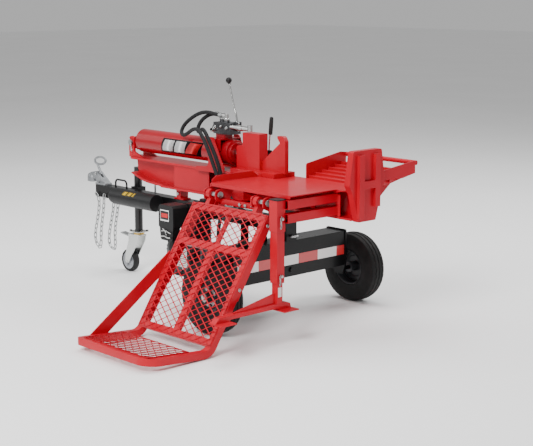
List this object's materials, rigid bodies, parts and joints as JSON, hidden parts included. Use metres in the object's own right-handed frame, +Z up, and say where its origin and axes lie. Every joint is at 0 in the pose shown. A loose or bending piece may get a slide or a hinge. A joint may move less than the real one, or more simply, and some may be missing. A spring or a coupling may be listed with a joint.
{
  "type": "log splitter",
  "caption": "Towable petrol log splitter: red steel beam with a hydraulic ram and wedge, side tables, a mesh log lift, a fold-down leg, two wheels and a tongue.",
  "frame": {"origin": "on the ground under the middle of the machine's bounding box", "axes": "+X along the beam towards the end plate, +Y towards the far catcher, +Z up"},
  "size_m": [2.4666, 1.868, 1.3075],
  "materials": {
    "red_paint": "gloss",
    "dark_red_paint": "gloss",
    "black_paint": "gloss",
    "black_plastic": "satin",
    "tyre_rubber": "matte",
    "hose_rubber": "matte",
    "zinc": "satin",
    "chrome": "polished",
    "grey_cast": "satin",
    "engine_black": "satin",
    "tape": "gloss"
  },
  "bodies": {
    "root": {"axle_tank": "black_paint", "reflective_tape": "tape", "pedestal_post": "black_paint", "tongue_tube": "black_paint", "tongue_bracket": "red_paint", "coupler_body": "grey_cast", "safety_chains": "zinc", "manual_tube": "black_plastic", "jack_sleeve": "black_paint", "engine_plate": "black_paint", "engine_block": "engine_black", "engine_fan_cover": "black_plastic", "air_cleaner": "black_plastic", "fuel_tank": "black_plastic", "muffler": "zinc", "hydraulic_pump": "grey_cast", "beam": "red_paint", "end_plate": "red_paint", "near_table": "red_paint", "side_tubes": "red_paint", "far_catcher": "red_paint", "cylinder_barrel": "dark_red_paint", "cylinder_gland": "dark_red_paint", "dislodger_plates": "red_paint", "valve_bracket": "dark_red_paint", "main_valve": "engine_black", "valve_fittings": "chrome", "crossover_pipe": "chrome", "hose_pressure": "hose_rubber", "hose_return": "hose_rubber", "suction_hose": "hose_rubber", "lift_valve": "black_paint", "lift_carrier": "red_paint", "frame_fasteners": "zinc"},
    "wheel_left": {"tyre_left": "tyre_rubber", "rim_left": "black_paint"},
    "wheel_right": {"tyre_right": "tyre_rubber", "rim_right": "black_paint"},
    "jack": {"jack_leg": "black_paint"},
    "caster_swivel": {"caster_fork": "zinc"},
    "caster_wheel_body": {"caster_wheel": "hose_rubber"},
    "caster_pedal": {"caster_brake": "zinc"},
    "coupler_latch": {"coupler_handle": "zinc"},
    "ram": {"ram_rod": "chrome", "wedge": "red_paint"},
    "main_lever": {"valve_lever": "zinc"},
    "spool": {"valve_spool": "chrome"},
    "lift_lever_body": {"lift_lever": "zinc"},
    "log_lift": {"lift_frame": "red_paint", "lift_mesh_panel": "red_paint", "lift_mesh_platform": "red_paint"},
    "lift_ram_barrel": {"lift_cylinder": "black_paint"},
    "lift_ram_rod": {"lift_rod": "chrome"},
    "leg_slider": {"leg_middle": "red_paint"},
    "leg_foot_body": {"leg_foot": "red_paint"},
    "fuel_lid": {"fuel_cap": "black_plastic"},
    "tank_lid": {"tank_cap": "black_plastic"},
    "manual_lid": {"manual_cap": "black_plastic"},
    "recoil": {"recoil_handle": "black_plastic"},
    "pump_drive": {"drive_coupling": "zinc"}
  },
  "joints": [
    {"name": "wheel_left_spin", "type": "hinge", "parent": "root", "child": "wheel_left", "pos_m": [0.6183, 0.878, 0.203], "axis": [0, 1, 0], "continuous": true},
    {"name": "wheel_right_spin", "type": "hinge", "parent": "root", "child": "wheel_right", "pos_m": [0.6183, -0.222, 0.203], "axis": [0, 1, 0], "continuous": true},
    {"name": "jack_slide", "type": "slide", "parent": "root", "child": "jack", "axis": [0, 0, 1], "range_m": [0, 0.18]},
    {"name": "caster_swivel_turn", "type": "hinge", "parent": "jack", "child": "caster_swivel", "pos_m": [-0.8087, 0.398, 0.265], "axis": [0, 0, 1], "continuous": true},
    {"name": "caster_wheel_spin", "type": "hinge", "parent": "caster_swivel", "child": "caster_wheel_body", "pos_m": [-0.9037, 0.398, 0.073], "axis": [0, 1, 0], "continuous": true},
    {"name": "caster_pedal_tilt", "type": "hinge", "parent": "caster_swivel", "child": "caster_pedal", "pos_m": [-0.8937, 0.398, 0.235], "axis": [0, 1, 0], "range_deg": [-12, 0]},
    {"name": "coupler_latch_tilt", "type": "hinge", "parent": "root", "child": "coupler_latch", "pos_m": [-1.1337, 0.328, 0.622], "axis": [0, 1, 0], "range_deg": [-45, 0]},
    {"name": "ram_slide", "type": "slide", "parent": "root", "child": "ram", "axis": [1, 0, 0], "range_m": [0, 0.54]},
    {"name": "main_lever_tilt", "type": "hinge", "parent": "root", "child": "main_lever", "pos_m": [0.2163, 0.328, 1.046], "axis": [0, 1, 0], "range_deg": [-15, 15], "stiffness_Nm_per_rad": 4},
    {"name": "spool_slide", "type": "slide", "parent": "root", "child": "spool", "axis": [1, 0, 0], "range_m": [-0.0095, 0.0095]},
    {"name": "lift_lever_tilt", "type": "hinge", "parent": "root", "child": "lift_lever_body", "pos_m": [0.3303, 0.466, 0.868], "axis": [0, 1, 0], "range_deg": [-12, 12], "stiffness_Nm_per_rad": 3},
    {"name": "log_lift_tilt", "type": "hinge", "parent": "root", "child": "log_lift", "pos_m": [0.6783, -0.117, 0.728], "axis": [-1, 0, 0], "range_deg": [0, 80]},
    {"name": "lift_ram_swing", "type": "hinge", "parent": "root", "child": "lift_ram_barrel", "pos_m": [0.5323, 0.178, 0.64], "axis": [1, 0, 0], "range_deg": [-0.5, 2.5]},
    {"name": "lift_ram_slide", "type": "slide", "parent": "lift_ram_barrel", "child": "lift_ram_rod", "axis": [0, -0.9933, 0.1159], "range_m": [0, 0.09]},
    {"name": "leg_slide", "type": "slide", "parent": "root", "child": "leg_slider", "axis": [0, 0, -1], "range_m": [0, 0.09]},
    {"name": "foot_slide", "type": "slide", "parent": "leg_slider", "child": "leg_foot_body", "axis": [0, 0, -1], "range_m": [0, 0.09]},
    {"name": "fuel_lid_turn", "type": "hinge", "parent": "root", "child": "fuel_lid", "pos_m": [0.1413, 0.138, 0.617], "axis": [0, 0, 1], "continuous": true},
    {"name": "tank_lid_turn", "type": "hinge", "parent": "root", "child": "tank_lid", "pos_m": [0.5883, 0.028, 0.45], "axis": [0, 0, 1], "continuous": true},
    {"name": "manual_lid_turn", "type": "hinge", "parent": "root", "child": "manual_lid", "pos_m": [-0.8317, 0.2378, 0.52], "axis": [1, 0, 0], "continuous": true},
    {"name": "recoil_pull", "type": "slide", "parent": "root", "child": "recoil", "axis": [-1, 0, 0], "range_m": [0, 0.3], "stiffness_N_per_m": 25},
    {"name": "pump_drive_spin", "type": "hinge", "parent": "root", "child": "pump_drive", "pos_m": [0.2283, 0.078, 0.335], "axis": [1, 0, 0], "continuous": true}
  ],
  "couplings": [
    {"joint": "spool_slide", "follows": "main_lever_tilt", "m_per_rad": -0.034},
    {"joint": "lift_ram_swing", "follows": "log_lift_tilt", "ratio": 0.0206},
    {"joint": "lift_ram_slide", "follows": "log_lift_tilt", "m_per_rad": 0.06265}
  ]
}
